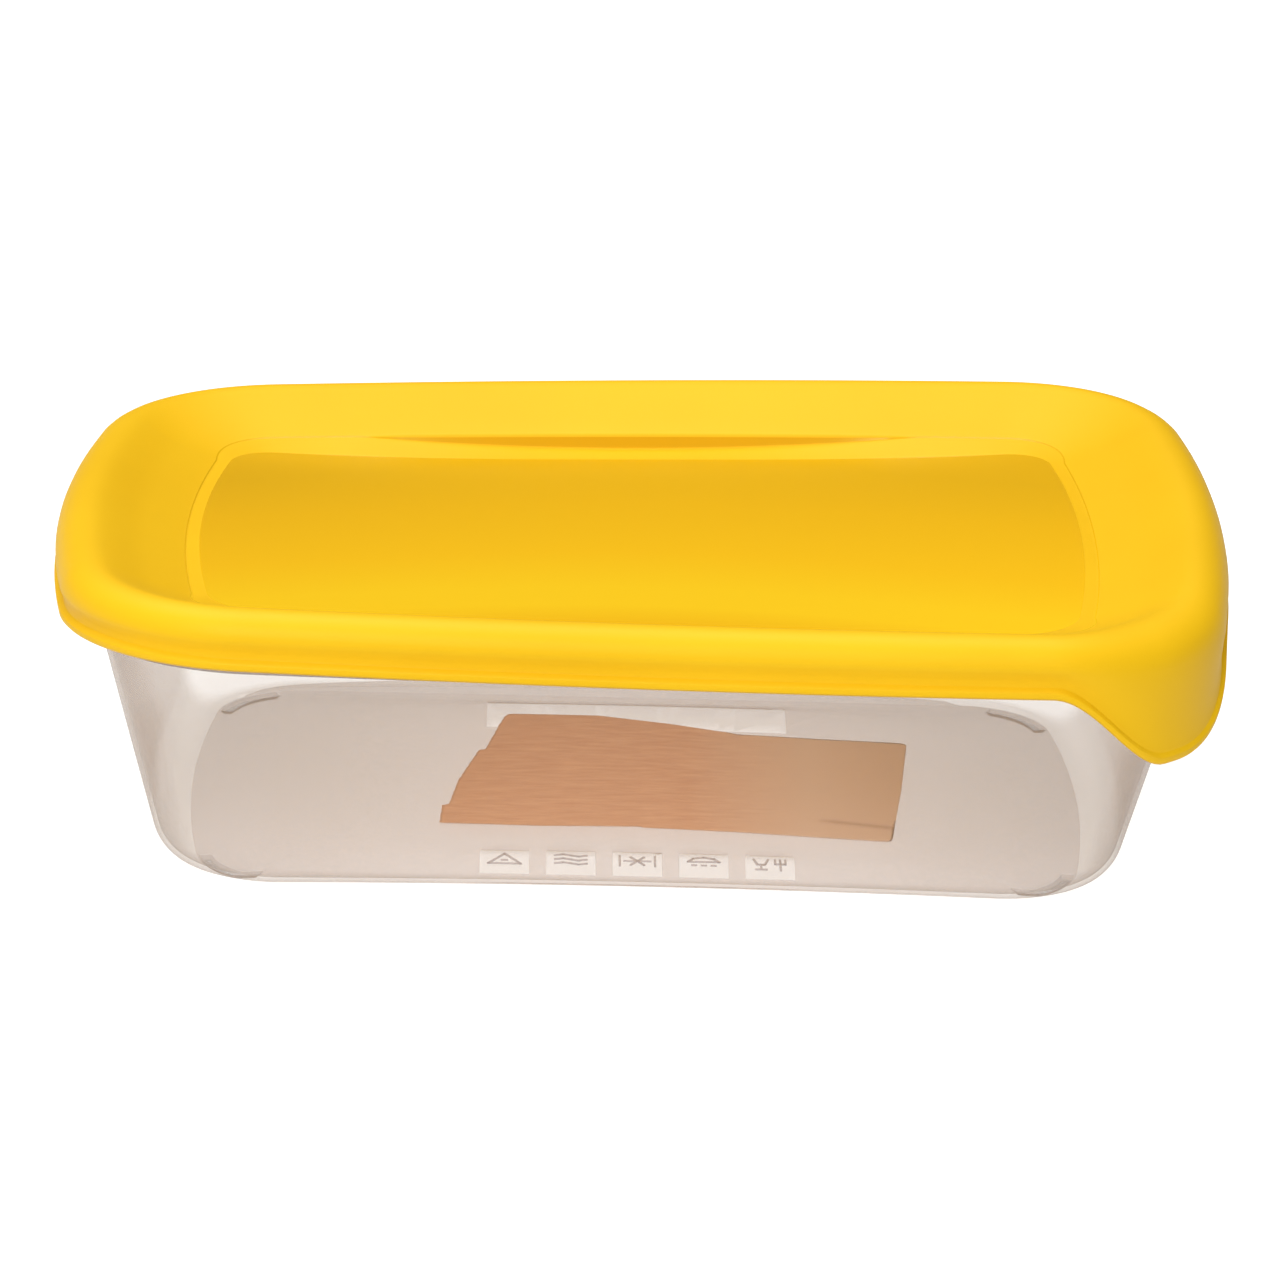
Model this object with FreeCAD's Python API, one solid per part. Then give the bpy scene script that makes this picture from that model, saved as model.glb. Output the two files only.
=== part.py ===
# Food storage container: a shallow clear plastic tub with a push-on lid that has one
# pull tab at a corner, and a paper label stuck under the tub's floor.
# Millimetres. X runs along the tub, Y across it and Z up. The origin is on the ground,
# under the middle of the lid, and the pull tab is at the corner of +X and -Y.

import FreeCAD
import Part
import Mesh
import math
import os

# Lid, in plan
lid_length = 230.6
lid_width = 173.0
lid_long_radius = 1413.0      # the long sides bow out a little
lid_short_radius = 370.0
lid_corner_radius = 38.4
# Lid, in section
lid_thickness = 1.1
lip_drop = 5.0                # lower edge of the skirt below the tub's rim
ridge_rise = 6.6              # top of the ridge above the rim
ridge_inset = 4.0             # from the lip's outline in to the ridge's top
ridge_radius = 3.8
side_draw = 1.6               # how much further in the ridge is along the short sides
draw_fade = 4                 # how fast that fades out round a corner
band_depth = 1.2              # hollow band between the ridge and the lip
lip_depth = 2.3               # height of the lip below that band
lip_round = 0.5               # where the lip's outer face starts to turn under
lip_turn = 0.3                # how far in its lower edge is
flange_slope = 0.355          # fall of the flange towards the middle
flange_inset = 25.3           # inner edge of the flange, at the short sides
flange_middle = 14.0          # one more station on the flange
flange_lip = 0.4              # run of the step at the flange's inner edge
flange_drop = 0.15            # least height of that step
band_shares = [(0.25, 0.6, 0.5), (0.5, 1.0, 0.1), (0.72, 0.85, 0.0)]  # down it, depth, draw
pocket_width = 3.0            # how much narrower the flange is half-way along a long side
pocket_drop = 2.8             # the shelf beside the flange there, below the rim
pocket_half_length = 64.0
long_side_normal = 0.7        # outward normals with more Y than this belong to a long side
panel_inset = 28.3            # edge of the sunk panel
panel_drop = 3.3              # panel's edge half-way along a long side, below the rim
panel_rise = 2.9              # and how much higher its short ends are
# Lid, as it sits: it is a little racked on the tub
lid_tilt = 0.0085             # rise for each millimetre along X
lid_twist = 0.000249          # rise for each square millimetre of X times Y
# Pull tab
tab_drop = 15.1               # below the lip
tab_half_width = 29.0         # along the outline, to where it runs out into the lip
tab_side_width = 35.0         # the same on its other side, along the short side
tab_flare = 1.2               # how far its lower edge stands out
tab_roll_radius = 8.0
tab_crown_drop = 1.0          # the ridge sinks this much where it rolls over into the tab
tab_fullness = 0.8            # below 1 the tab is broader than a plain wave
ridge_turns = [0.0, 30.0, 60.0, 82.0]  # degrees round the ridge, from its top outwards
# Tub
floor_length = 176.6          # flat part of the floor
floor_width = 117.6
floor_long_radius = 3800.0
floor_short_radius = 325.0
floor_corner_radius = 18.0
floor_arch = 1.7              # the floor's middle is higher than its short ends
base_radius = 8.8             # round between the floor and the wall
wall_thickness = 0.95
rim_height = 55.8
rim_reach = 2.0               # the rim's turned-down edge beyond the wall
rim_leg = 5.4                 # height of that edge
rim_round = 0.4               # bevel along the rim's outer edge
rim_clearance = 0.6           # between it and the inside of the lid's hollow band
# Feet: an arc-shaped rib under each corner of the floor
foot_height = 0.8
foot_width = 1.2
foot_inset = 0.5
foot_slope = 0.3              # run of the rib's sides
foot_from = 6.0               # degrees from X that the rib's outward normal runs through
foot_to = 70.0
# Label: its back and front edges, stuck on crooked
label_back = [(-25.3, 41.0), (-7.3, 41.2), (21.3, 32.1), (55.6, 30.5)]
label_front = [(-38.9, -25.5), (0.4, -26.3), (49.9, -30.8)]
label_thickness = 0.2
label_clearance = 0.15
# Heights on the lid, all from the rim that it sits on
lip_height = rim_height - lip_drop
ridge_height = rim_height + ridge_rise
pocket_floor = rim_height - pocket_drop
panel_height = rim_height - panel_drop
# Fineness of the facets
short_steps = 3               # in half a short side
corner_steps = 8
long_steps = 5                # in half a long side
base_steps = 4
middle_shares = [0.0, 0.35, 0.7]    # rings within the floor and within the panel
label_steps = 12


def quadrant(half_length, half_width, long_radius, short_radius, corner_radius):
    """Points of a bowed, rounded rectangle from +X to +Y, each as x, y and outward normal."""
    long_reach = long_radius - corner_radius
    short_reach = short_radius - corner_radius
    dx = half_length - short_radius
    dy = long_radius - half_width
    apart = math.hypot(dx, dy)
    along = (long_reach ** 2 - short_reach ** 2 + apart ** 2) / (2 * apart)
    across = math.sqrt(long_reach ** 2 - along ** 2)
    centre_x = (along * dx + across * dy) / apart
    centre_y = (along * dy - across * dx) / apart - dy
    turn_1 = math.atan2(centre_y, centre_x - dx)
    turn_2 = math.atan2(centre_y + dy, centre_x)
    arcs = [(dx, 0.0, short_radius, 0.0, turn_1, short_steps),
            (centre_x, centre_y, corner_radius, turn_1, turn_2, corner_steps),
            (0.0, -dy, long_radius, turn_2, math.pi / 2, long_steps)]
    points = []
    for x, y, radius, start, end, steps in arcs:
        for step in range(steps):
            turn = start + (end - start) * step / steps
            normal = (math.cos(turn), math.sin(turn))
            points.append((x + radius * normal[0], y + radius * normal[1], *normal))
    points.append((0.0, half_width, 0.0, 1.0))
    return points


def outline(*sizes):
    """The whole closed outline, anticlockwise from +X, without a repeated point."""
    first = quadrant(*sizes)
    second = [(-x, y, -nx, ny) for x, y, nx, ny in reversed(first)]
    upper = first[:-1] + second
    lower = [(x, -y, nx, -ny) for x, y, nx, ny in reversed(upper[1:-1])]
    return upper + lower


def solid_from_rings(rings):
    """A closed faceted solid through rings of points; the first and last ring are one point."""
    facets = []
    for ring, after in zip(rings, rings[1:]):
        for i in range(len(ring)):
            j = (i + 1) % len(ring)
            for facet in ((ring[i], ring[j], after[j]), (ring[i], after[j], after[i])):
                if len(set(facet)) == 3:
                    facets.append(facet)
    shape = Part.Shape()
    shape.makeShapeFromMesh(Mesh.Mesh(facets).Topology, 0.001)
    solid = Part.Solid(Part.Shell(shape.Faces))
    if solid.Volume < 0:
        solid.reverse()
    return solid


def rings_of(points, sections, place):
    """Turn one section per outline point into one ring of points per station."""
    return [[place(point, *station) for point, station in zip(points, stations)]
            for stations in zip(*sections)]


def mix(a, b, share):
    return a + (b - a) * share


def thicken(section, thickness):
    """The same section moved by the wall thickness to its inner side."""
    moved = []
    for i, (inset, height) in enumerate(section):
        before = section[max(i - 1, 0)]
        after = section[min(i + 1, len(section) - 1)]
        run, rise = after[0] - before[0], after[1] - before[1]
        length = math.hypot(run, rise)
        moved.append((inset - rise / length * thickness, height + run / length * thickness))
    return moved


# ---------------------------------------------------------------- lid

lid_outline = outline(lid_length / 2, lid_width / 2, lid_long_radius, lid_short_radius,
                      lid_corner_radius)


def tab_share(x, y):
    """1 in the middle of the pull tab, falling smoothly to 0 where it joins the lip."""
    corner_x = lid_length / 2 - lid_corner_radius
    corner_y = lid_corner_radius - lid_width / 2
    turn = math.atan2(y - corner_y, x - corner_x) + math.pi / 4
    if x < 0 or y > 0:
        return 0.0
    width = tab_side_width if turn > 0 else tab_half_width
    along = min(abs(lid_corner_radius * turn) / width, 1.0)
    return (0.5 + 0.5 * math.cos(math.pi * along)) ** tab_fullness


def pocket_share(x, y, normal_y):
    """1 half-way along a long side, falling to 0 towards the corners."""
    if abs(normal_y) < long_side_normal:
        return 0.0
    return max(0.0, 1.0 - (x / pocket_half_length) ** 2)


def panel_top(x):
    return panel_height + panel_rise * min(abs(x) / (lid_length / 2 - panel_inset), 1.0) ** 3


def flange_top(inset):
    turn = math.atan(flange_slope)
    start = ridge_inset + ridge_radius * math.sin(turn)
    return ridge_height - ridge_radius * (1 - math.cos(turn)) - flange_slope * (inset - start)


def lid_section(point):
    """Stations as inset and height, from the panel's edge out over the ridge to the lip."""
    x, y, normal_x, normal_y = point
    tab = tab_share(x, y)
    draw = side_draw * abs(normal_x) ** draw_fade * (1 - tab)
    pocket = pocket_share(x, y, normal_y)
    edge = flange_inset - pocket_width * pocket
    shelf = mix(flange_top(edge) - flange_drop, pocket_floor, pocket ** 0.5)
    section = [(panel_inset, panel_top(x)), (edge + flange_lip, shelf),
               (edge, flange_top(edge)), (flange_middle, flange_top(flange_middle))]
    roll = ridge_inset + draw + tab * (tab_roll_radius - ridge_radius)
    radius = mix(ridge_radius, tab_roll_radius, tab)
    crown = ridge_height - tab_crown_drop * tab
    for turn in [-math.degrees(math.atan(flange_slope))] + ridge_turns:
        turn = math.radians(turn)
        section.append((roll - radius * math.sin(turn), crown - radius * (1 - math.cos(turn))))
    top = section[-1][1]
    hollow = band_depth * (1 - tab)
    low = lip_height - tab_drop * tab
    flare = tab_flare * tab
    for share, inset, drawn in band_shares:
        section.append((inset * hollow + drawn * draw - flare * share,
                        mix(top, low + lip_depth, share)))
    section += [(0.35 * hollow - flare, low + lip_depth * 0.85), (-flare, low + lip_depth * 0.5),
                (-flare, low + lip_round), (lip_turn - flare, low)]
    return section


def place_on_lid(point, inset, height):
    x, y, normal_x, normal_y = point
    x, y = x - normal_x * inset, y - normal_y * inset
    return (x, y, height + lid_tilt * x + lid_twist * x * y)


def panel_ring(share, drop):
    ring = []
    for x, y, normal_x, normal_y in lid_outline:
        x, y = share * (x - normal_x * panel_inset), share * (y - normal_y * panel_inset)
        ring.append(place_on_lid((x, y, 0.0, 0.0), 0.0, panel_top(x) - drop))
    return ring


def make_lid():
    upper = [lid_section(point) for point in lid_outline]
    under = [thicken(section, lid_thickness) for section in upper]
    rings = [panel_ring(share, 0.0) for share in middle_shares]
    rings += rings_of(lid_outline, upper, place_on_lid)
    rings += rings_of(lid_outline, [section[::-1] for section in under], place_on_lid)
    rings += [panel_ring(share, lid_thickness) for share in reversed(middle_shares)]
    return solid_from_rings(rings)


# ---------------------------------------------------------------- tub

rim_inset = band_depth + lid_thickness + rim_clearance + rim_reach
floor_outline = outline(floor_length / 2, floor_width / 2, floor_long_radius,
                        floor_short_radius, floor_corner_radius)
rim_outline = outline(lid_length / 2 - rim_inset, lid_width / 2 - rim_inset,
                      lid_long_radius - rim_inset, lid_short_radius - rim_inset,
                      lid_corner_radius - rim_inset)


def floor_lift(x, height):
    """How far the arch of the floor raises a point; it fades out up the wall."""
    across = max(0.0, 1 - (2 * x / floor_length) ** 2)
    return floor_arch * across * max(0.0, 1 - max(height - foot_height, 0.0) / (2 * base_radius))


def foot_share(normal_x, normal_y):
    turn = math.degrees(math.atan2(abs(normal_y), abs(normal_x)))
    return 1.0 if foot_from <= turn <= foot_to else 0.0


def tub_section(floor_point, rim_point):
    """Stations as reach and height, under the floor, up the wall, over the rim and back down."""
    x, y, normal_x, normal_y = floor_point
    top = (rim_point[0] - x) * normal_x + (rim_point[1] - y) * normal_y
    rise = rim_height - foot_height - base_radius
    lean = math.atan2(rise, top) + math.asin(base_radius / math.hypot(top, rise))
    turns = [lean * step / base_steps for step in range(base_steps + 1)]
    sole = foot_height * (1 - foot_share(normal_x, normal_y))
    section = [(-foot_inset - foot_width - foot_slope, foot_height),
               (-foot_inset - foot_width, sole), (-foot_inset, sole),
               (-foot_inset + foot_slope, foot_height)]
    section += [(base_radius * math.sin(turn), foot_height + base_radius * (1 - math.cos(turn)))
                for turn in turns]
    wall_start = section[-1]
    ledge = rim_height - wall_thickness
    for height in ((wall_start[1] + ledge) / 2, ledge):
        share = (height - wall_start[1]) / (rim_height - wall_start[1])
        section.append((mix(wall_start[0], top, share), height))
    edge = top + rim_reach
    section += [(edge - wall_thickness, ledge), (edge - wall_thickness, rim_height - rim_leg),
                (edge, rim_height - rim_leg), (edge, rim_height - rim_round),
                (edge - rim_round, rim_height),
                (top - wall_thickness / math.sin(lean), rim_height)]
    radius = base_radius - wall_thickness
    section += [(radius * math.sin(turn), foot_height + base_radius - radius * math.cos(turn))
                for turn in reversed(turns)]
    return section


def place_on_tub(points, reach, height):
    (x, y, normal_x, normal_y), rim_point = points
    top = (rim_point[0] - x) * normal_x + (rim_point[1] - y) * normal_y
    share = (height - foot_height) / (rim_height - foot_height)
    x += normal_x * reach + (rim_point[0] - x - normal_x * top) * share
    y += normal_y * reach + (rim_point[1] - y - normal_y * top) * share
    return (x, y, height + (floor_lift(x, height) if height >= foot_height else 0.0))


def floor_ring(share, height):
    return [(share * x, share * y, height + floor_lift(share * x, height))
            for x, y, normal_x, normal_y in floor_outline]


def make_tub():
    pairs = list(zip(floor_outline, rim_outline))
    sections = [tub_section(*pair) for pair in pairs]
    rings = [floor_ring(share, foot_height) for share in middle_shares]
    rings += rings_of(pairs, sections, place_on_tub)
    rings += [floor_ring(share, foot_height + wall_thickness) for share in reversed(middle_shares)]
    return solid_from_rings(rings)


# ---------------------------------------------------------------- label

def along(points, share):
    """The point at a share of the length of a line of points."""
    lengths = [math.dist(a, b) for a, b in zip(points, points[1:])]
    left = share * sum(lengths)
    for length, a, b in zip(lengths, points, points[1:]):
        if left <= length:
            break
        left -= length
    return mix(a[0], b[0], min(left / length, 1.0)), mix(a[1], b[1], min(left / length, 1.0))


def make_label():
    rings = []
    for step in range(label_steps + 1):
        ring = []
        for edge, drop in ((label_back, 0.0), (label_front, 0.0),
                           (label_front, label_thickness), (label_back, label_thickness)):
            x, y = along(edge, step / label_steps)
            under_floor = foot_height + floor_lift(x, foot_height) - label_clearance
            ring.append((x, y, under_floor - drop))
        rings.append(ring)
    for end in (rings[0], rings[-1]):
        middle = tuple(sum(point[axis] for point in end) / len(end) for axis in range(3))
        rings.insert(0 if end is rings[0] else len(rings), [middle] * len(end))
    return solid_from_rings(rings)


os.makedirs("parts", exist_ok=True)
for name, solid in (("tub", make_tub()), ("lid", make_lid()), ("label", make_label())):
    solid.exportStep(f"parts/{name}.step")
    print(name, len(solid.Faces), "facets", round(solid.Volume), "mm3, valid", solid.isValid())
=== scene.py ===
import bpy
import bmesh
import math
from mathutils import Vector, Matrix, noise


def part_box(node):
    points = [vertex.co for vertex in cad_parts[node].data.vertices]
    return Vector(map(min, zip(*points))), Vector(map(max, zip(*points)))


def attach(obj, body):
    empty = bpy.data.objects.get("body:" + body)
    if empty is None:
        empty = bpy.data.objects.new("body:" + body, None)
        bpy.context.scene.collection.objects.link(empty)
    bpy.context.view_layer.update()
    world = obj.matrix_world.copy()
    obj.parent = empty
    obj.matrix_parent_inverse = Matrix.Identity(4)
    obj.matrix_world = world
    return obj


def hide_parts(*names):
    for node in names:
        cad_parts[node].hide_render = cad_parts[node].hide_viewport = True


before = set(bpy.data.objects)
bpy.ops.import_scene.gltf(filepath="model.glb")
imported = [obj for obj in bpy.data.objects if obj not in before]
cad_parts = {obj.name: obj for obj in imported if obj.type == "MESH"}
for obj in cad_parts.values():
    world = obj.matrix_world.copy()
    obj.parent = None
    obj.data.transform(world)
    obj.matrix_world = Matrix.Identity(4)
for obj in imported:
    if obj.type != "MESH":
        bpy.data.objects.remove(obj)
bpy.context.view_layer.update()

mm = 0.001
lidLow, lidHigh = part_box("lid")
lidHalf = (lidHigh - lidLow) / 2
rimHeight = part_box("tub")[1].z
print("frame loaded, half of the lid", [round(side / mm, 1) for side in lidHalf])

fineness = {"short": 10, "corner": 40, "long": 22}  # points in half a side, and in a corner
fillShares = (0.86, 0.7, 0.52, 0.34, 0.16)  # rings between the edge of a floor and its middle
cornerReach = 0.45  # the most of a line that the round at its end takes
leastTangent = 0.001  # for the round of a corner that hardly turns


def mix(a, b, share):
    return a + (b - a) * share


def smooth(share):
    share = max(0.0, min(1.0, share))
    return share * share * (3 - 2 * share)


# outlines: bowed sides joined by corner arcs, as points with outward normals

def quadrant(halfLength, halfWidth, longRadius, shortRadius, cornerRadius):
    dx, dy = halfLength - shortRadius, longRadius - halfWidth
    longReach, shortReach = longRadius - cornerRadius, shortRadius - cornerRadius
    apart = math.hypot(dx, dy)
    run = (longReach ** 2 - shortReach ** 2 + apart ** 2) / (2 * apart)
    side = math.sqrt(longReach ** 2 - run ** 2)
    cx, cy = (run * dx + side * dy) / apart, (run * dy - side * dx) / apart - dy
    turnA, turnB = math.atan2(cy, cx - dx), math.atan2(cy + dy, cx)
    arcs = [(dx, 0, shortRadius, 0, turnA, fineness["short"]),
            (cx, cy, cornerRadius, turnA, turnB, fineness["corner"]),
            (0, -dy, longRadius, turnB, math.pi / 2, fineness["long"])]
    points = []
    for x, y, radius, start, end, steps in arcs:
        for step in range(steps):
            turn = mix(start, end, step / steps)
            nx, ny = math.cos(turn), math.sin(turn)
            points.append((x + radius * nx, y + radius * ny, nx, ny))
    return points + [(0.0, halfWidth, 0.0, 1.0)]


def outline(*sizes):
    first = quadrant(*sizes)
    upper = first[:-1] + [(-x, y, -nx, ny) for x, y, nx, ny in reversed(first)]
    return upper + [(x, -y, nx, -ny) for x, y, nx, ny in reversed(upper[1:-1])]


# sections: corner points with a radius each become short arcs

def soften(corners, steps):
    line = [Vector(corners[0][:2])]
    for before, (x, y, radius), after in zip(corners, corners[1:], corners[2:]):
        corner = Vector((x, y))
        if not radius:
            line.append(corner)
            continue
        back, on = Vector(before[:2]) - corner, Vector(after[:2]) - corner
        half = back.angle(on, math.pi) / 2
        reach = min(radius / max(math.tan(half), leastTangent),
                    back.length * cornerReach, on.length * cornerReach)
        start, end = corner + back.normalized() * reach, corner + on.normalized() * reach
        for step in range(steps + 1):
            t = step / steps
            line.append(start.lerp(corner, t).lerp(corner.lerp(end, t), t))
    line.append(Vector(corners[-1][:2]))
    return line


def thicken(corners, thickness):
    inner = []
    for i, (inset, height, radius) in enumerate(corners):
        before, after = corners[max(i - 1, 0)], corners[min(i + 1, len(corners) - 1)]
        run, rise = after[0] - before[0], after[1] - before[1]
        length = math.hypot(run, rise)
        inner.append((inset - rise / length * thickness, height + run / length * thickness, radius))
    return inner


# shells are grown ring by ring from a circle

def growRing(bm, ring, slot):
    edges = [bm.edges.get((ring[i - 1], ring[i])) for i in range(len(ring))]
    grown = bmesh.ops.extrude_edge_only(bm, edges=edges)["geom"]
    fresh = {item for item in grown if isinstance(item, bmesh.types.BMVert)}
    for item in grown:
        if isinstance(item, bmesh.types.BMFace):
            item.material_index = slot
    return [next(e.other_vert(v) for e in v.link_edges if e.other_vert(v) in fresh) for v in ring]


def fillRing(bm, ring, slot):  # a grid of quads between the two long sides
    quarter = fineness["short"] + fineness["corner"] // 2
    half = len(ring) // 2
    edges = []
    for start, end in ((quarter, half - quarter), (half + quarter, 2 * half - quarter)):
        edges += [bm.edges.get((ring[i], ring[i + 1])) for i in range(start, end)]
    old = set(bm.verts)
    filled = bmesh.ops.grid_fill(bm, edges=edges, mat_nr=slot, use_smooth=True, use_interp_simple=True)
    for face in filled["faces"]:
        face.material_index = slot
    return [v for v in bm.verts if v not in old]


def growShell(points, sections, place, settle, slots, fillSlots):
    bm = bmesh.new()
    ring = list(bmesh.ops.create_circle(bm, segments=len(points), radius=1)["verts"])
    rings = [ring]
    for station in range(1, len(sections[0])):
        ring = growRing(bm, ring, slots(station))
        rings.append(ring)
    for station, ring in enumerate(rings):
        for vert, point, section in zip(ring, points, sections):
            vert.co = place(point, *section[station])
    fills = []
    for ring, side in ((rings[0], 0), (rings[-1], 1)):
        old = set(bm.faces)
        spots = [vert.co.copy() for vert in ring]
        for share in fillShares:
            ring = growRing(bm, ring, fillSlots[side])
            for vert, spot in zip(ring, spots):
                vert.co = settle(spot * share, side)
        for vert in fillRing(bm, ring, fillSlots[side]):
            vert.co = settle(vert.co, side)
        fills.append([face for face in bm.faces if face not in old])
    bmesh.ops.recalc_face_normals(bm, faces=bm.faces)
    return bm, fills


def finishPiece(bm, name):
    for face in bm.faces:
        face.smooth = True
    mesh = bpy.data.meshes.new(name)
    bm.to_mesh(mesh)
    bm.free()
    piece = bpy.data.objects.new(name, mesh)
    bpy.context.scene.collection.objects.link(piece)
    print(name, len(mesh.polygons), "faces")
    return piece


# lid

lidShape = {
    "longRadius": 1413 * mm, "shortRadius": 370 * mm, "cornerRadius": 38.4 * mm,
    "thickness": 1.1 * mm, "roundSteps": (3, 1),  # in each rounded corner, outside and inside
    # panel, from some way in to its edge
    "panelInset": 28.3 * mm, "panelHeight": 52.5 * mm, "panelRise": 2.9 * mm,
    "panelRun": (4 * mm, 1.6 * mm, 0), "panelRound": 1.2 * mm,
    # step and pocket beside it
    "stepRun": 0.4 * mm, "stepDrop": 0.15 * mm, "stepRound": 0.5 * mm,
    "pocketWidth": 3.0 * mm, "pocketFloor": 53.0 * mm, "pocketHalfLength": 59 * mm,
    "longSideNormal": 0.7,
    "polishedStations": (1, 2, 3, 4, 5, 10),  # the panel's edge, and the riser of the step, which so takes the panel's painted shade along the back
    # flange, and how it rises to the ridge
    "flangeSlope": 0.355, "flangeInset": 25.3 * mm, "flangeRound": 0.9 * mm, "flangeMiddle": 18 * mm,
    "flangeShares": (0.2, 0.4, 0.6, 0.8, 0.92),
    # ridge
    "ridgeHeight": 62.4 * mm, "wallInset": 0.24 * mm, "frontDrop": 0.65 * mm,
    "backRadius": 3.8 * mm, "frontRadius": 5.4 * mm, "endRadius": 6.5 * mm,
    "ridgeTurns": (-19.5, -10, 0, 12, 24, 36, 48, 60, 72, 82),  # degrees outwards from its top
    # hollow band, as shares of its height and depth, and the lip
    "bandDepth": 1.3 * mm,
    "bandLine": ((0.14, 0.2), (0.3, 0.42), (0.46, 0.66), (0.62, 0.88), (0.75, 1.0)),
    "lipHeight": 50.8 * mm, "lipDepth": 2.3 * mm, "lipTuck": 0.92, "lipTuckRound": 0.3 * mm,
    "lipFace": 0.66, "lipRound": 0.5 * mm, "lipLean": 0.1 * mm, "lipFoot": 0.5 * mm, "lipTurn": 0.6 * mm,
    # pull tab
    "tabDrop": 14.7 * mm, "tabFull": 4.5 * mm, "tabFade": 26 * mm, "tabSideWidth": 35 * mm,
    "tabFlare": 1.0 * mm, "tabHollow": 0.5, "tabRollRadius": 8 * mm, "tabCrownDrop": 1 * mm,
    # the lid sits a little racked on the tub, and its ends draw in
    "tilt": 0.0085, "twist": 0.249, "leftEase": 0.003, "rightEase": 0.0048, "easeShift": 0.2,
}
lidOutline = outline(lidHalf.x, lidHalf.y, lidShape["longRadius"], lidShape["shortRadius"],
                     lidShape["cornerRadius"])


def tabShare(x, y):
    if x < 0 or y > 0:
        return 0.0
    turn = math.atan2(y + lidHalf.y - lidShape["cornerRadius"],
                      x - lidHalf.x + lidShape["cornerRadius"]) + math.pi / 4
    run = abs(lidShape["cornerRadius"] * turn)
    if turn < 0:
        return 1 - smooth((run - lidShape["tabFull"]) / lidShape["tabFade"])
    return (0.5 + 0.5 * math.cos(math.pi * min(run / lidShape["tabSideWidth"], 1.0))) ** 0.5


def panelTop(x):
    s = lidShape
    return s["panelHeight"] + s["panelRise"] * min(abs(x) / (lidHalf.x - s["panelInset"]), 1.0) ** 3


def flangeTop(inset):
    s = lidShape
    turn = math.atan(s["flangeSlope"])
    start = s["wallInset"] + s["backRadius"] * (1 + math.sin(turn))
    drop = s["backRadius"] * (1 - math.cos(turn))
    return s["ridgeHeight"] - drop - s["flangeSlope"] * (inset - start)


def panelCorners(x, nx, ny):
    s = lidShape
    pocket = max(0.0, 1 - (x / s["pocketHalfLength"]) ** 2) if abs(ny) > s["longSideNormal"] else 0.0
    edge = s["flangeInset"] - s["pocketWidth"] * smooth(abs(ny))
    shelf = mix(flangeTop(edge) - s["stepDrop"], s["pocketFloor"], pocket)
    reaches = [s["panelInset"] + more for more in s["panelRun"]]
    far, near, brink = ((reach, panelTop(x - nx * reach)) for reach in reaches)
    return [(*far, 0), (*near, 0), (*brink, s["panelRound"]),
            (edge + s["stepRun"], shelf, s["stepRound"]),
            (edge, flangeTop(edge), s["flangeRound"]),
            (s["flangeMiddle"], flangeTop(s["flangeMiddle"]), 0)]


def ridgeCorners(y, nx, ny, tab):
    s = lidShape
    front = smooth(-ny)
    end = nx ** 2 if y < 0 else nx ** 4
    plain = mix(mix(s["backRadius"], s["frontRadius"], front), s["endRadius"], end)
    radius = mix(plain, s["tabRollRadius"], tab)
    roll = s["wallInset"] + radius * math.sin(math.radians(s["ridgeTurns"][-1]))
    crown = s["ridgeHeight"] - mix(s["frontDrop"] * front, s["tabCrownDrop"], tab)
    slope = math.atan(s["flangeSlope"])
    start = roll + radius * math.sin(slope)
    lift = crown - radius * (1 - math.cos(slope)) - flangeTop(start)
    corners = []
    for share in s["flangeShares"]:
        inset = mix(s["flangeMiddle"], start, share)
        corners.append((inset, flangeTop(inset) + lift * smooth(share), 0))
    for turn in s["ridgeTurns"]:
        turn = math.radians(turn)
        corners.append((roll - radius * math.sin(turn), crown - radius * (1 - math.cos(turn)), 0))
    return corners


def lipCorners(top, tab):  # with the hollow band above the lip
    s = lidShape
    hollow = s["bandDepth"] * mix(1, s["tabHollow"], tab)
    low = s["lipHeight"] - s["tabDrop"] * tab
    flare = s["tabFlare"] * tab
    corners = []
    for share, depth in s["bandLine"]:
        corners.append((depth * hollow - flare * share, mix(top, low + s["lipDepth"], share), 0))
    return corners + [(s["lipTuck"] * hollow - flare, low + s["lipDepth"], s["lipTuckRound"]),
                      (-flare, low + s["lipFace"] * s["lipDepth"], s["lipRound"]),
                      (s["lipLean"] - flare, low + s["lipFoot"], s["lipRound"]),
                      (s["lipTurn"] - flare, low, 0)]


def lidCorners(point):
    x, y, nx, ny = point
    tab = tabShare(x, y)
    corners = panelCorners(x, nx, ny) + ridgeCorners(y, nx, ny, tab)
    return corners + lipCorners(corners[-1][1], tab)


def lidEase(x, y):  # the right end draws in towards the front, the left one towards the back
    share = y / lidHalf.y
    if x > 0:
        return mix(lidShape["rightEase"], 0, smooth(share + lidShape["easeShift"]))
    return lidShape["leftEase"] * smooth(share)


def onLid(point, inset, height):
    x, y, nx, ny = point
    x, y = x - nx * inset, y - ny * inset
    lift = lidShape["tilt"] * x + lidShape["twist"] * x * y
    return Vector((x * (1 - lidEase(x, y)), y, height + lift))


def makeLid():
    upper = [lidCorners(point) for point in lidOutline]
    outer, inner = lidShape["roundSteps"]
    sections = [soften(corners, outer) + soften(thicken(corners, lidShape["thickness"])[::-1], inner)
                for corners in upper]

    def settle(co, side):
        height = panelTop(co.x) - side * lidShape["thickness"]
        return onLid((co.x, co.y, 0, 0), 0, height)

    def slots(station):
        return int(station in lidShape["polishedStations"])

    bm = growShell(lidOutline, sections, onLid, settle, slots, (1, 0))[0]
    return finishPiece(bm, "pressLid")


# tub

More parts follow.
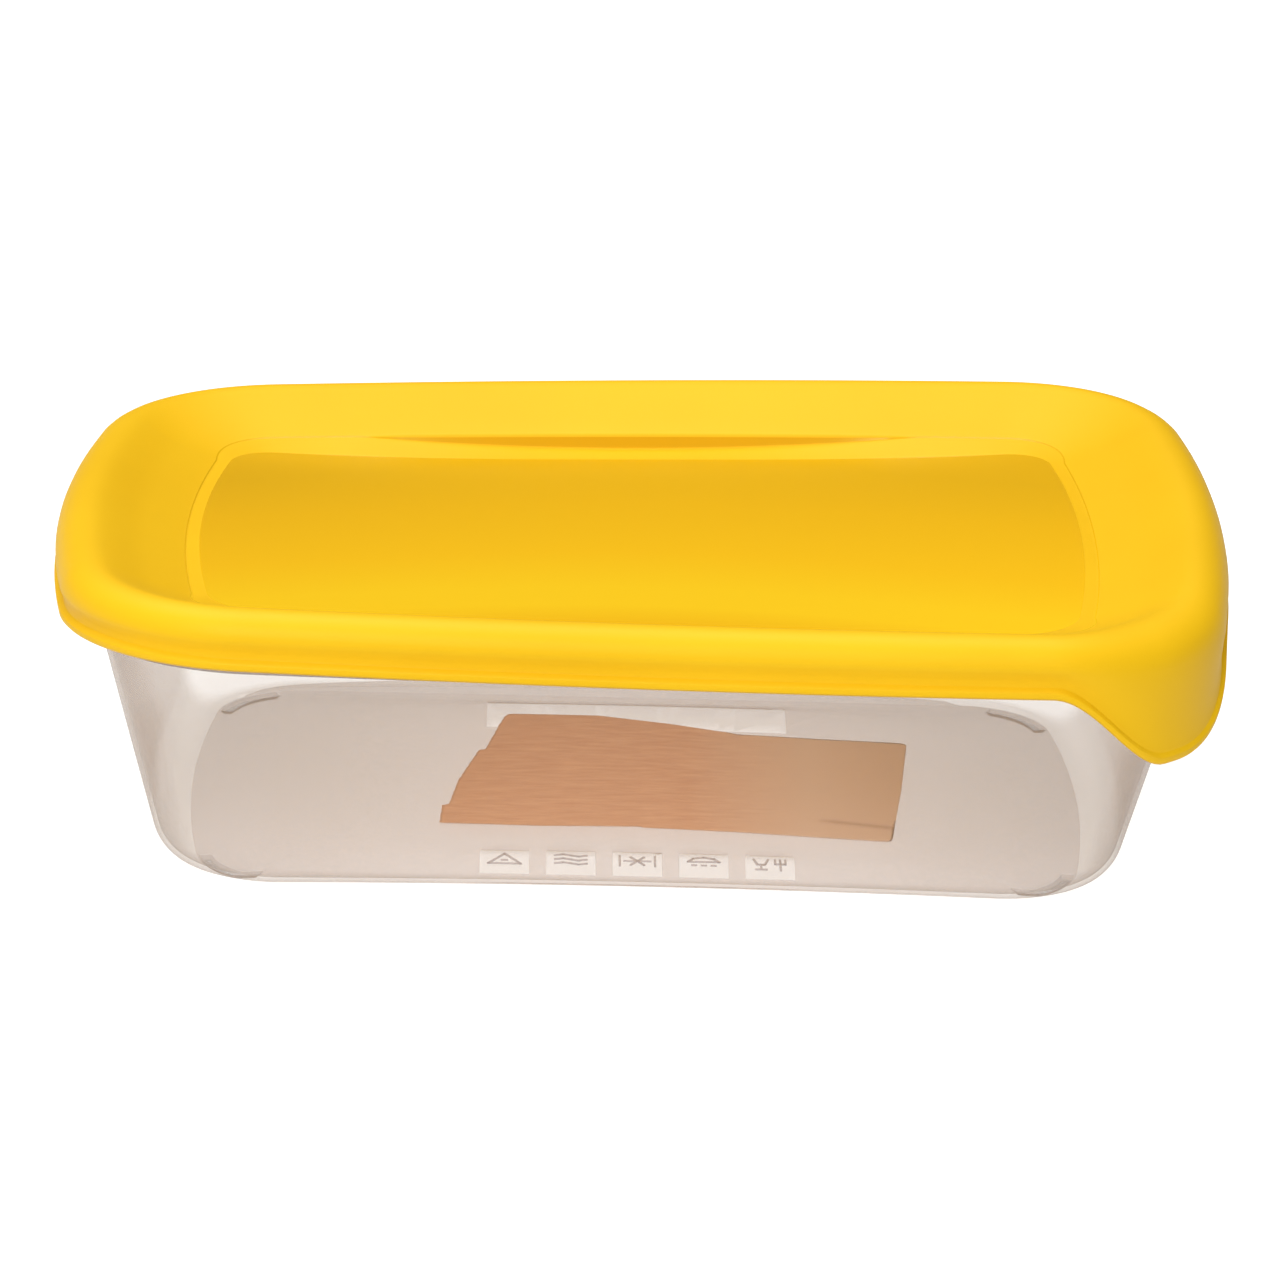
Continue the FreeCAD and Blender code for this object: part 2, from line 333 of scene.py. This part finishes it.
tubShape = {
    "floorHalfLength": 88.3 * mm, "floorHalfWidth": 58.8 * mm, "longRadius": 3800 * mm,
    "shortRadius": 325 * mm, "cornerRadius": 18 * mm, "arch": 1.7 * mm, "baseRadius": 8.8 * mm,
    "wall": 0.95 * mm, "roundSteps": 2,
    "leftEase": 0.0125, "rightEase": 0.0042,  # how its ends draw in towards the rim
    "baseSteps": 13, "wallShares": (0.15, 0.3, 0.45, 0.6, 0.75, 0.9),
    "innerSteps": 12, "innerShares": (0.8, 0.6, 0.4, 0.2), "floorMargin": 2.7 * mm,
    # rim, turned out and down
    "rimReach": 2.0 * mm, "rimLeg": 5.4 * mm, "rimInset": 4.9 * mm,
    "ledgeRound": 0.5 * mm, "legRound": 0.4 * mm, "smallRound": 0.3 * mm, "rimRound": 0.9 * mm,
    # feet, in degrees from X, and where the front ones stand further in
    "footHeight": 0.8 * mm, "footWidth": 2.2 * mm, "footInset": 0.5 * mm,
    "footFrom": 14.0, "footFromFade": 2, "footTo": 66.0, "footToFade": 3, "footMargin": 1.0 * mm,
    "footSlope": 0.25 * mm, "footBevel": 0.1 * mm, "footRound": 0.3 * mm, "soleShare": 0.85,
    "frontPull": 3.2 * mm, "frontNormal": 0.78, "sideFade": 0.2,
    # edge of the frosted face, which climbs the round at the back
    "frostClimb": 25.0, "climbOff": 10 * mm, "climbHalf": 78 * mm, "climbNormal": 0.7, "climbHaste": 12,
    "frostSteps": 3, "frostGap": 0.3 * mm, "frostStep": 0.1 * mm,
    "frostedStations": range(1, 16), "lidShadowStations": range(41, 49),  # underneath, and the rim's leg, whose dark foot plastic is painted shadow under the lid's lip
}
floorOutline = outline(tubShape["floorHalfLength"], tubShape["floorHalfWidth"],
                       tubShape["longRadius"], tubShape["shortRadius"], tubShape["cornerRadius"])
rimOutline = outline(*(size - tubShape["rimInset"] for size in (
    lidHalf.x, lidHalf.y, lidShape["longRadius"], lidShape["shortRadius"], lidShape["cornerRadius"])))


def floorLift(x, height):
    s = tubShape
    across = max(0.0, 1 - (x / s["floorHalfLength"]) ** 2)
    return s["arch"] * across * max(0.0, 1 - max(height - s["footHeight"], 0) / (2 * s["baseRadius"]))


def footCorners(nx, ny):
    s = tubShape
    angle = math.degrees(math.atan2(abs(ny), abs(nx)))
    onFoot = smooth((angle - s["footFrom"]) / s["footFromFade"] + 1)
    onFoot *= smooth((s["footTo"] - angle) / s["footToFade"] + 1)
    top, sole = s["footHeight"], s["footHeight"] * (1 - onFoot)
    outer = -s["footInset"] - s["frontPull"] * smooth((-ny - s["frontNormal"]) / s["sideFade"])
    inner = outer - s["footWidth"]
    return [(inner - s["footMargin"], top, 0), (inner - s["footSlope"], top, s["footBevel"]),
            (inner + s["footBevel"], sole, s["footRound"]),
            (outer - s["footBevel"], sole, s["footRound"]),
            (outer + s["footSlope"], top, s["footBevel"])]


def baseCorners(x, ny, start, lean):  # from the edge of the frost up the round
    s = tubShape
    foot, base = s["footHeight"], s["baseRadius"]
    climb = math.radians(s["frostClimb"]) * max(0.0, 1 - ((x + s["climbOff"]) / s["climbHalf"]) ** 2)
    climb *= smooth((ny - s["climbNormal"]) / s["sideFade"])
    corners = []
    for step in range(1, s["frostSteps"] + 1):
        flat = Vector((start + s["frostGap"] + s["frostStep"] * step, foot))
        turn = climb * (step - 0.5) / (s["frostSteps"] - 0.5)
        bent = Vector((base * math.sin(turn), foot + base * (1 - math.cos(turn))))
        corners.append((*flat.lerp(bent, smooth(climb * s["climbHaste"])), 0))
    for step in range(1, s["baseSteps"] + 1):
        turn = mix(climb, lean, step / s["baseSteps"])
        corners.append((base * math.sin(turn), foot + base * (1 - math.cos(turn)), 0))
    return corners


def tubCorners(floorPoint, rimPoint):
    s = tubShape
    x, y, nx, ny = floorPoint
    foot, base, wall = s["footHeight"], s["baseRadius"], s["wall"]
    top = (rimPoint[0] - x) * nx + (rimPoint[1] - y) * ny
    rise = rimHeight - foot - base
    lean = math.atan2(rise, top) + math.asin(base / math.hypot(top, rise))
    slant = wall / math.sin(lean)
    corners = footCorners(nx, ny)
    corners += baseCorners(x, ny, corners[-1][0] - s["footSlope"], lean)
    startX, startZ = corners[-1][:2]
    ledge = rimHeight - wall

    def reach(height):
        return mix(startX, top, (height - startZ) / (rimHeight - startZ))

    for share in s["wallShares"]:
        height = mix(startZ, ledge, share)
        corners.append((reach(height), height, 0))
    edge = top + s["rimReach"]
    corners += [(reach(ledge), ledge, s["ledgeRound"]), (edge - wall, ledge, s["legRound"]),
                (edge - wall, rimHeight - s["rimLeg"], s["smallRound"]),
                (edge, rimHeight - s["rimLeg"], s["smallRound"]), (edge, rimHeight, s["rimRound"]),
                (top - slant, rimHeight, s["smallRound"])]
    for share in s["innerShares"]:
        height = mix(startZ, ledge, share)
        corners.append((reach(height) - slant, height, 0))
    inner = base - wall
    for step in range(s["innerSteps"], -1, -1):
        turn = lean * step / s["innerSteps"]
        corners.append((inner * math.sin(turn), foot + base - inner * math.cos(turn), 0))
    return corners + [(-s["floorMargin"], foot + wall, 0)]


def onTub(points, reach, height):
    (x, y, nx, ny), rimPoint = points
    foot = tubShape["footHeight"]
    top = (rimPoint[0] - x) * nx + (rimPoint[1] - y) * ny
    share = (height - foot) / (rimHeight - foot)
    x += nx * reach + (rimPoint[0] - x - nx * top) * share
    y += ny * reach + (rimPoint[1] - y - ny * top) * share
    x *= 1 - tubShape["rightEase" if x > 0 else "leftEase"] * max(share, 0.0)
    return Vector((x, y, height + (floorLift(x, height) if height >= foot else 0.0)))


def makeTub():
    pairs = list(zip(floorOutline, rimOutline))
    sections = [soften(tubCorners(*pair), tubShape["roundSteps"]) for pair in pairs]

    def settle(co, side):
        height = tubShape["footHeight"] + side * tubShape["wall"]
        return Vector((co.x, co.y, height + floorLift(co.x, height)))

    def slots(station):
        if station in tubShape["frostedStations"]:
            return 1
        return 2 if station in tubShape["lidShadowStations"] else 0

    bm, fills = growShell(pairs, sections, onTub, settle, slots, (1, 0))
    # the soles of the feet take the dark foot plastic, as painted shade
    for face in bm.faces:
        if face.calc_center_median().z < tubShape["soleShare"] * tubShape["footHeight"]:
            face.material_index = 2
    addWindows(bm, fills[0])
    addStrokes(bm)
    return finishPiece(bm, "tubBody")


wave = [(-0.6, 0.5), (-0.3, 0.62), (0, 0.5), (0.3, 0.38), (0.6, 0.5)]
floorMarks = {
    "window": (-30.4 * mm, 31.4 * mm, 32.6 * mm, 50 * mm), "depth": 0.12 * mm, "border": 0.25 * mm,
    "tiles": 5, "tileHalf": 5.015 * mm, "tilePitch": 12.87 * mm, "tileRow": -46.2 * mm,
    "cutWeld": 0.001 * mm, "strokeWidth": 0.09,  # a stroke's width and points are in halves of a tile
    "strokes": [
        [[(-0.62, -0.5), (0, 0.6), (0.62, -0.5), (-0.62, -0.5)], [(-0.1, -0.12), (0.1, -0.12)]],
        [[(x, y - drop) for x, y in wave] for drop in (0, 0.45, 0.9)],
        [[(-0.5, 0), (0.5, 0)], [(-0.25, -0.43), (0.25, 0.43)], [(-0.25, 0.43), (0.25, -0.43)],
         [(-0.68, -0.55), (-0.68, 0.55)], [(0.68, -0.55), (0.68, 0.55)]],
        [[(-0.6, 0.1), (-0.4, 0.45), (0, 0.6), (0.4, 0.45), (0.6, 0.1), (-0.6, 0.1)],
         [(-0.45, -0.3), (-0.3, -0.3)], [(-0.08, -0.3), (0.08, -0.3)], [(0.3, -0.3), (0.45, -0.3)]],
        [[(-0.62, 0.55), (-0.5, 0), (-0.2, 0), (-0.08, 0.55)], [(-0.35, 0), (-0.35, -0.5)],
         [(-0.55, -0.55), (-0.15, -0.55)], [(0.2, 0.55), (0.2, 0.1), (0.6, 0.1), (0.6, 0.55)],
         [(0.4, 0.55), (0.4, -0.6)]],
    ],
}


def addWindows(bm, faces):  # clear places in the frosted underside
    m = floorMarks
    boxes = [m["window"]]
    for i in range(m["tiles"]):
        x = (i - m["tiles"] // 2) * m["tilePitch"]
        boxes.append((x - m["tileHalf"], x + m["tileHalf"],
                      m["tileRow"] - m["tileHalf"], m["tileRow"] + m["tileHalf"]))
    cuts = [("x", at) for box in boxes for at in box[:2]]
    cuts += [("y", at) for at in sorted({at for box in boxes for at in box[2:]})]
    floorFaces = set(faces)
    for axis, at in cuts:
        spot = Vector((at, 0, 0)) if axis == "x" else Vector((0, at, 0))
        normal = Vector((1, 0, 0)) if axis == "x" else Vector((0, 1, 0))
        geom = list(floorFaces)
        geom += list({edge for face in floorFaces for edge in face.edges})
        geom += list({vert for face in floorFaces for vert in face.verts})
        cut = bmesh.ops.bisect_plane(bm, geom=geom, dist=m["cutWeld"], plane_co=spot, plane_no=normal)
        floorFaces = {item for item in cut["geom"] if isinstance(item, bmesh.types.BMFace)}
    for low, high, front, back in boxes:
        inside = []
        for face in floorFaces:
            c = face.calc_center_median()
            if low < c.x < high and front < c.y < back:
                inside.append(face)
        bmesh.ops.inset_region(bm, faces=inside, thickness=m["border"], depth=-m["depth"],
                               use_even_offset=True, use_boundary=True)
        for face in inside:
            face.material_index = 0


def addStrokes(bm):  # little raised lines in the tiles
    m = floorMarks
    half = m["tileHalf"]
    width = m["strokeWidth"] * half
    for i, lines in enumerate(m["strokes"]):
        middle = Vector(((i - m["tiles"] // 2) * m["tilePitch"], m["tileRow"], 0))
        for line in lines:
            for start, end in zip(line, line[1:]):
                a, b = (middle + Vector((*spot, 0)) * half for spot in (start, end))
                run = b - a
                spot = (a + b) / 2
                spot.z = tubShape["footHeight"] + floorLift(spot.x, 0)
                place = Matrix.Translation(spot) @ run.to_track_quat("X", "Z").to_matrix().to_4x4()
                size = Vector((run.length + width, width, 2 * m["depth"]))
                cube = bmesh.ops.create_cube(bm, size=1, matrix=place @ Matrix.Diagonal((*size, 1)))
                for face in {face for vert in cube["verts"] for face in vert.link_faces}:
                    face.material_index = 1


# materials

def newMaterial(name):
    material = bpy.data.materials.new(name)
    material.use_nodes = True
    nodes = material.node_tree.nodes
    return material, nodes, material.node_tree.links, nodes["Principled BSDF"]


def addNoise(nodes, links, scale, detail=3, roughness=0.5, stretch=None):
    coords = nodes.new("ShaderNodeTexCoord")
    texture = nodes.new("ShaderNodeTexNoise")
    texture.inputs["Scale"].default_value = scale
    texture.inputs["Detail"].default_value = detail
    texture.inputs["Roughness"].default_value = roughness
    source = coords.outputs["Object"]
    if stretch:
        mapping = nodes.new("ShaderNodeMapping")
        mapping.inputs["Scale"].default_value = stretch
        links.new(source, mapping.inputs["Vector"])
        source = mapping.outputs["Vector"]
    links.new(source, texture.inputs["Vector"])
    return texture


def addRamp(nodes, links, source, stops):
    ramp = nodes.new("ShaderNodeValToRGB")
    elements = ramp.color_ramp.elements
    for element, (position, color) in zip(elements[:], (stops[0], stops[-1])):
        element.position = position
        element.color = (*color, 1)
    for position, color in stops[1:-1]:
        elements.new(position).color = (*color, 1)
    links.new(source, ramp.inputs["Fac"])
    return ramp


def addBump(nodes, links, source, strength, distance):
    bump = nodes.new("ShaderNodeBump")
    bump.inputs["Strength"].default_value = strength
    bump.inputs["Distance"].default_value = distance
    links.new(source, bump.inputs["Height"])
    return bump


yellowPlastic = {
    "deep": (0.90, 0.515, 0.004), "bright": (0.95, 0.56, 0.006),
    "toneScale": 14, "toneRange": (0.3, 0.7),
    "satinRoughness": 0.5, "polishedRoughness": 0.22, "gloss": 0.36, "sheen": (1.0, 0.84, 0.45),
    "grainScale": 2400, "grainBump": 0.35, "grainDepth": 0.05 * mm,
    "rippleScale": 45, "rippleBump": 0.12, "rippleDepth": 0.2 * mm,
    # painted light and shade along the panel: darker tones at its back, its ends and its very front edge
    # stand for shade, and the brighter band towards its front stands for light bounced off the front
    # flange; the tone runs from 0 at its back to 1 at its front, bent towards its ends by the bow
    "panelSpan": -9, "panelMiddle": 0.5, "panelBow": -30,
    "panelLightAndShade": [(0.0, (0.80, 0.44, 0.004)), (0.25, (0.90, 0.49, 0.004)),
                   (0.55, (0.97, 0.54, 0.005)), (0.76, (1.0, 0.61, 0.008)),
                   (0.86, (1.0, 0.61, 0.008)), (0.97, (0.93, 0.50, 0.004))],
}


def yellowBase(name, roughness):
    look = yellowPlastic
    material, nodes, links, shader = newMaterial(name)
    tone = addNoise(nodes, links, look["toneScale"])
    ramp = addRamp(nodes, links, tone.outputs["Fac"],
                   list(zip(look["toneRange"], (look["deep"], look["bright"]))))
    links.new(ramp.outputs["Color"], shader.inputs["Base Color"])
    shader.inputs["Roughness"].default_value = roughness
    shader.inputs["Specular IOR Level"].default_value = look["gloss"]
    shader.inputs["Specular Tint"].default_value = (*look["sheen"], 1)
    return material, nodes, links, shader


def yellowSatin():
    look = yellowPlastic
    material, nodes, links, shader = yellowBase("yellow satin plastic", look["satinRoughness"])
    grain = addNoise(nodes, links, look["grainScale"], 2, 0.6)
    bump = addBump(nodes, links, grain.outputs["Fac"], look["grainBump"], look["grainDepth"])
    links.new(bump.outputs["Normal"], shader.inputs["Normal"])
    return material


def yellowPolished():
    look = yellowPlastic
    material, nodes, links, shader = yellowBase("yellow polished plastic", look["polishedRoughness"])
    coords = nodes.new("ShaderNodeTexCoord")
    parts = nodes.new("ShaderNodeSeparateXYZ")
    links.new(coords.outputs["Object"], parts.inputs["Vector"])
    ends = nodes.new("ShaderNodeMath")
    ends.operation = "MULTIPLY"
    links.new(parts.outputs["X"], ends.inputs[0])
    links.new(parts.outputs["X"], ends.inputs[1])
    bow = nodes.new("ShaderNodeMath")
    bow.operation = "MULTIPLY_ADD"
    bow.inputs[1].default_value = look["panelBow"]
    bow.inputs[2].default_value = look["panelMiddle"]
    links.new(ends.outputs["Value"], bow.inputs[0])
    depth = nodes.new("ShaderNodeMath")
    depth.operation = "MULTIPLY_ADD"
    depth.inputs[1].default_value = look["panelSpan"]
    links.new(parts.outputs["Y"], depth.inputs[0])
    links.new(bow.outputs["Value"], depth.inputs[2])
    # the panel's base colour is painted light and shade: darker at its back and ends, brighter towards
    # its front
    tone = addRamp(nodes, links, depth.outputs["Value"], look["panelLightAndShade"])
    links.new(tone.outputs["Color"], shader.inputs["Base Color"])
    ripple = addNoise(nodes, links, look["rippleScale"], 2)
    bump = addBump(nodes, links, ripple.outputs["Fac"], look["rippleBump"], look["rippleDepth"])
    links.new(bump.outputs["Normal"], shader.inputs["Normal"])
    return material


clearTub = {
    "through": (0.985, 0.978, 0.972), "edgeStops": (0.48, 0.8, 0.98), "edgeMix": 0.4,
    # milky share face on and at an edge, its colour, and its roughness
    "clear": ((0.06, 0.86), (0.68, 0.59, 0.53), 0.2),
    "frosted": ((0.44, 0.70), (0.80, 0.77, 0.87), 0.5),
    # the dark foot plastic is painted shade: on the feet seen through the walls, and painted shadow of
    # the lid along the rim's leg
    "foot": ((0.5, 0.85), (0.42, 0.33, 0.27), 0.3),
    "grainScale": 1300, "grainTones": ((0.34, 0.93), (0.66, 1.06)), "grainDepth": 0.04 * mm,
}


def clearPlastic(kind):
    shares, milk, roughness = clearTub[kind]
    material, nodes, links, shader = newMaterial(kind + " plastic")
    through = nodes.new("ShaderNodeBsdfTransparent")
    through.inputs["Color"].default_value = (*clearTub["through"], 1)
    facing = nodes.new("ShaderNodeLayerWeight")
    facing.inputs["Blend"].default_value = 0.5
    levels = (shares[0], mix(*shares, clearTub["edgeMix"]), shares[1])
    share = addRamp(nodes, links, facing.outputs["Facing"],
                    [(at, (level,) * 3) for at, level in zip(clearTub["edgeStops"], levels)])
    blend = nodes.new("ShaderNodeMixShader")
    links.new(share.outputs["Color"], blend.inputs["Fac"])
    links.new(through.outputs["BSDF"], blend.inputs[1])
    links.new(shader.outputs["BSDF"], blend.inputs[2])
    links.new(blend.outputs["Shader"], nodes["Material Output"].inputs["Surface"])
    grain = addNoise(nodes, links, clearTub["grainScale"], 3, 0.6)
    tones = [(at, tuple(part * tone for part in milk)) for at, tone in clearTub["grainTones"]]
    cloudy = addRamp(nodes, links, grain.outputs["Fac"], tones)
    links.new(cloudy.outputs["Color"], shader.inputs["Base Color"])
    bump = addBump(nodes, links, grain.outputs["Fac"], roughness, clearTub["grainDepth"])
    links.new(bump.outputs["Normal"], shader.inputs["Normal"])
    shader.inputs["Roughness"].default_value = roughness
    return material


paper = {
    "fibreLow": (0.83, 0.43, 0.24), "fibreHigh": (0.99, 0.58, 0.35), "fibreRange": (0.32, 0.68),
    "fibreScale": 420, "fibreStretch": (0.3, 1.8, 1), "fibreBump": 0.4, "fibreDepth": 0.1 * mm,
    "pale": (1.0, 0.80, 0.70), "paleSpan": (10 * mm, 34 * mm), "paleShare": 0.8,  # to the right
    # colour multiplied in along the crease: painted shade of the fold
    "creaseShade": (0.72, 0.66, 0.62), "roughness": 0.8,
}


def labelPaper():
    material, nodes, links, shader = newMaterial("salmon label paper")
    fibre = addNoise(nodes, links, paper["fibreScale"], 5, 0.62, paper["fibreStretch"])
    ramp = addRamp(nodes, links, fibre.outputs["Fac"],
                   list(zip(paper["fibreRange"], (paper["fibreLow"], paper["fibreHigh"]))))
    coords = nodes.new("ShaderNodeTexCoord")
    parts = nodes.new("ShaderNodeSeparateXYZ")
    links.new(coords.outputs["Object"], parts.inputs["Vector"])
    fade = nodes.new("ShaderNodeMapRange")
    fade.inputs["From Min"].default_value, fade.inputs["From Max"].default_value = paper["paleSpan"]
    fade.inputs["To Max"].default_value = paper["paleShare"]
    links.new(parts.outputs["X"], fade.inputs["Value"])
    rubbed = nodes.new("ShaderNodeMix")
    rubbed.data_type = "RGBA"
    rubbed.inputs["B"].default_value = (*paper["pale"], 1)
    links.new(fade.outputs["Result"], rubbed.inputs["Factor"])
    links.new(ramp.outputs["Color"], rubbed.inputs["A"])
    # darken the paper along the crease attribute, as painted shade of the fold
    creaseShade = nodes.new("ShaderNodeAttribute")
    creaseShade.attribute_name = "crease"
    shadedCrease = nodes.new("ShaderNodeMix")
    shadedCrease.data_type = "RGBA"
    shadedCrease.blend_type = "MULTIPLY"
    shadedCrease.inputs["B"].default_value = (*paper["creaseShade"], 1)
    links.new(creaseShade.outputs["Fac"], shadedCrease.inputs["Factor"])
    links.new(rubbed.outputs["Result"], shadedCrease.inputs["A"])
    links.new(shadedCrease.outputs["Result"], shader.inputs["Base Color"])
    shader.inputs["Roughness"].default_value = paper["roughness"]
    bump = addBump(nodes, links, fibre.outputs["Fac"], paper["fibreBump"], paper["fibreDepth"])
    links.new(bump.outputs["Normal"], shader.inputs["Normal"])
    return material


# label

labelShape = {  # edges and crease in millimetres, with a torn left end and rounded right corners
    "front": [(-38.7, -25.3), (-38.0, -25.6), (-19.3, -26.8), (0.4, -26.3), (0.9, -26.9),
              (20, -28.2), (35.7, -29.9), (47.6, -30.7), (49.0, -30.5), (49.7, -29.9)],
    "back": [(-26.0, 40.6), (-25.0, 41.1), (-16.3, 41.1), (-7.3, 41.1), (7.1, 37.1),
             (21.3, 32.1), (37.7, 31.0), (53.9, 30.6), (54.9, 30.3), (55.3, 29.6)],
    "left": [(-38.7, -25.3), (-38.3, -15.4), (-37.0, -14.6), (-35.4, -0.4), (-31.6, 18.1),
             (-30.2, 19.0), (-26.8, 38.4), (-26.0, 40.6)],
    "right": [(49.7, -29.9), (50.2, -28.6), (53.3, 1.1), (55.5, 28.2), (55.3, 29.6)],
    "thickness": 0.2 * mm, "grip": 0.04 * mm, "across": 120, "along": 90,
    "crease": ((34.0, -19.0), (51.0, -22.3)), "creaseWidth": 1.1 * mm,
    "tear": 0.35 * mm, "tearWaves": (60, 190), "tearLeast": -0.3, "tearFade": 12,
    "cockle": 0.03 * mm, "cockleWaves": (90, 60),
    "liftHalf": 32 * mm, "liftBefore": 1.2,  # where it rises into the recess of the clear window
}


def alongLine(points, share):
    lengths = [math.dist(a, b) for a, b in zip(points, points[1:])]
    left = share * sum(lengths)
    for length, a, b in zip(lengths, points, points[1:]):
        if left <= length:
            break
        left -= length
    left = min(left / length, 1.0)
    return Vector((mix(a[0], b[0], left) * mm, mix(a[1], b[1], left) * mm))


def labelSpot(u, v):  # a patch blended from its four edges
    front, back = (alongLine(labelShape[side], u) for side in ("front", "back"))
    left, right = (alongLine(labelShape[side], v) for side in ("left", "right"))
    a, b = (alongLine(labelShape["front"], end) for end in (0, 1))
    c, d = (alongLine(labelShape["back"], end) for end in (0, 1))
    spot = front.lerp(back, v) + left.lerp(right, u) - a.lerp(b, u).lerp(c.lerp(d, u), v)
    coarse, fine = labelShape["tearWaves"]
    torn = noise.noise(Vector((0, v * coarse, 0))) + 0.5 * noise.noise(Vector((5, v * fine, 0)))
    spot.x += labelShape["tear"] * max(torn, labelShape["tearLeast"]) * (1 - u) ** labelShape["tearFade"]
    return spot


# how much painted crease shade a spot takes, along the line of the crease
def creaseShare(spot):
    a, b = (Vector(end) * mm for end in labelShape["crease"])
    share = max(0.0, min(1.0, (spot - a).dot(b - a) / (b - a).length_squared))
    reach = (spot - a.lerp(b, share)).length / labelShape["creaseWidth"]
    return math.exp(-reach * reach) * smooth(share * 3)


def makeLabel():
    s = labelShape
    bm = bmesh.new()
    crease = bm.verts.layers.float.new("crease")
    bmesh.ops.create_grid(bm, x_segments=s["across"], y_segments=s["along"], size=0.5)
    for vert in bm.verts:
        spot = labelSpot(vert.co.x + 0.5, vert.co.y + 0.5)
        height = tubShape["footHeight"] + floorLift(spot.x, 0) + s["grip"]
        if abs(spot.x) < s["liftHalf"]:
            past = (spot.y - floorMarks["window"][2]) / mm
            height += floorMarks["depth"] * smooth(past + s["liftBefore"])
        waves = Vector((spot.x * s["cockleWaves"][0], spot.y * s["cockleWaves"][1], 3))
        cockle = s["cockle"] * (0.5 + noise.noise(waves))
        vert.co = (spot.x, spot.y, height + max(cockle, 0))
        vert[crease] = creaseShare(spot)
    grown = bmesh.ops.extrude_face_region(bm, geom=bm.faces[:])["geom"]
    lower = [item for item in grown if isinstance(item, bmesh.types.BMVert)]
    bmesh.ops.translate(bm, verts=lower, vec=(0, 0, -s["thickness"]))
    bmesh.ops.recalc_face_normals(bm, faces=bm.faces)
    return finishPiece(bm, "paperLabel")


# pieces

lid = makeLid()
for material in (yellowSatin(), yellowPolished()):
    lid.data.materials.append(material)
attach(lid, "root")
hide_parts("lid")

tub = makeTub()
for kind in ("clear", "frosted", "foot"):
    tub.data.materials.append(clearPlastic(kind))
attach(tub, "root")
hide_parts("tub")

label = makeLabel()
label.data.materials.append(labelPaper())
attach(label, "root")
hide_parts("label")
print("pieces dressed", [piece.name for piece in (lid, tub, label)])


# camera, floor and lights

view = {  # turns in degrees, places in metres, lens and sensor in millimetres
    "pitch": 18.08, "yaw": 1.02, "roll": -1.667, "distance": 1.40812, "rise": 30.51 * mm,
    "side": 0.49 * mm, "lens": 197.35, "sensor": 36, "nearest": 0.05,
}


def makeCamera():
    pitch, yaw, roll = (math.radians(view[key]) for key in ("pitch", "yaw", "roll"))
    right = Vector((1, 0, 0))
    up = Vector((0, math.sin(pitch), math.cos(pitch)))
    ahead = Vector((0, math.cos(pitch), -math.sin(pitch)))
    spot = right * view["side"] + up * view["rise"] - ahead * view["distance"]
    across = right * math.cos(roll) - up * math.sin(roll)
    upright = right * math.sin(roll) + up * math.cos(roll)
    camera = bpy.data.objects.new("camera", bpy.data.cameras.new("camera"))
    bpy.context.scene.collection.objects.link(camera)
    turn = Matrix((across, upright, -ahead)).transposed().to_4x4()
    turn.translation = spot
    camera.matrix_world = Matrix.Rotation(-yaw, 4, "Z") @ turn
    camera.data.lens = view["lens"]
    camera.data.sensor_width = view["sensor"]
    camera.data.clip_start = view["nearest"]
    bpy.context.scene.camera = camera


studio = {
    "lean": (-0.28, -0.45, 0.75), "skyRange": ((0.0, 0.05), (0.6, 0.55)),  # the sky glows along its lean
    "floorHalf": 6, "floorTone": 0.35, "floorRoughness": 0.9, "floorGloss": 0.1,
    "floorGlow": (0.5, 0.92),  # as it lights the object, and as it is seen
    "lamps": {  # place, size and power; the last stands for light that comes through the lid
        "softTop": ((-0.3, 0.5, 2.5), 2.0, 40), "softFront": ((-0.3, -1.1, 0.85), 0.5, 8),
        "lidGlow": ((0, 0, 0.047), 0.11, 0.018),
    },
}


def addLamp(name, spot, size, power):
    lamp = bpy.data.lights.new(name, "AREA")
    lamp.size = size
    lamp.energy = power
    holder = bpy.data.objects.new(name, lamp)
    holder.location = spot
    holder.rotation_euler = (-Vector(spot)).to_track_quat("-Z", "Y").to_euler()
    holder.visible_camera = False
    bpy.context.scene.collection.objects.link(holder)


def makeFloor():
    bm = bmesh.new()
    bmesh.ops.create_grid(bm, x_segments=1, y_segments=1, size=studio["floorHalf"])
    mesh = bpy.data.meshes.new("studioFloor")
    bm.to_mesh(mesh)
    bm.free()
    ground = bpy.data.objects.new("studioFloor", mesh)
    bpy.context.scene.collection.objects.link(ground)
    material, nodes, links, shader = newMaterial("pale floor")
    shader.inputs["Base Color"].default_value = (*(studio["floorTone"],) * 3, 1)
    shader.inputs["Roughness"].default_value = studio["floorRoughness"]
    shader.inputs["Specular IOR Level"].default_value = studio["floorGloss"]
    shader.inputs["Emission Color"].default_value = (1, 1, 1, 1)
    path = nodes.new("ShaderNodeLightPath")
    glow = nodes.new("ShaderNodeMix")
    glow.inputs["A"].default_value, glow.inputs["B"].default_value = studio["floorGlow"]
    links.new(path.outputs["Is Camera Ray"], glow.inputs["Factor"])
    links.new(glow.outputs["Result"], shader.inputs["Emission Strength"])
    mesh.materials.append(material)


def makeSky():
    world = bpy.data.worlds.new("studio")
    bpy.context.scene.world = world
    world.use_nodes = True
    nodes, links = world.node_tree.nodes, world.node_tree.links
    coords = nodes.new("ShaderNodeTexCoord")
    lean = nodes.new("ShaderNodeVectorMath")
    lean.operation = "DOT_PRODUCT"
    lean.inputs[1].default_value = studio["lean"]
    links.new(coords.outputs["Generated"], lean.inputs[0])
    sky = addRamp(nodes, links, lean.outputs["Value"],
                  [(at, (glow,) * 3) for at, glow in studio["skyRange"]])
    links.new(sky.outputs["Color"], nodes["Background"].inputs["Color"])


makeCamera()
makeFloor()
makeSky()
for name, facts in studio["lamps"].items():
    addLamp(name, *facts)
print("camera, floor, sky and lamps ready")
bpy.context.scene.view_settings.view_transform = "Standard"
